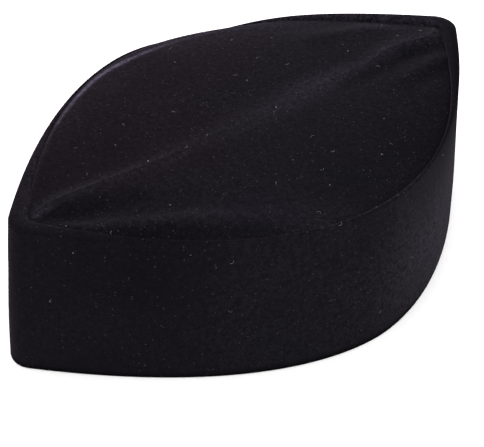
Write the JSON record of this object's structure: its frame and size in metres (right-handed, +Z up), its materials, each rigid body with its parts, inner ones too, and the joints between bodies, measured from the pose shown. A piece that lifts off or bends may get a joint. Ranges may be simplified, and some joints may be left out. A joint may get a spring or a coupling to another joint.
{
  "type": "kufi cap",
  "caption": "Stiff black velvet cap, a pointed oval from above, with an upright band, a rounded lip and a creased crown sunk just inside it. The head goes in from below.",
  "frame": {"origin": "centre of the cap's box, at the level of the rim that it stands on", "axes": "+Z up, +Y along the cap from the front tip to the back tip, +X towards the cap's right side"},
  "size_m": [0.1596, 0.2432, 0.0676],
  "materials": {
    "velvet": "deep black cotton velvet, matt, with a soft sheen at grazing angles"
  },
  "bodies": {
    "root": {"band": "velvet", "crown": "velvet"}
  },
  "joints": []
}
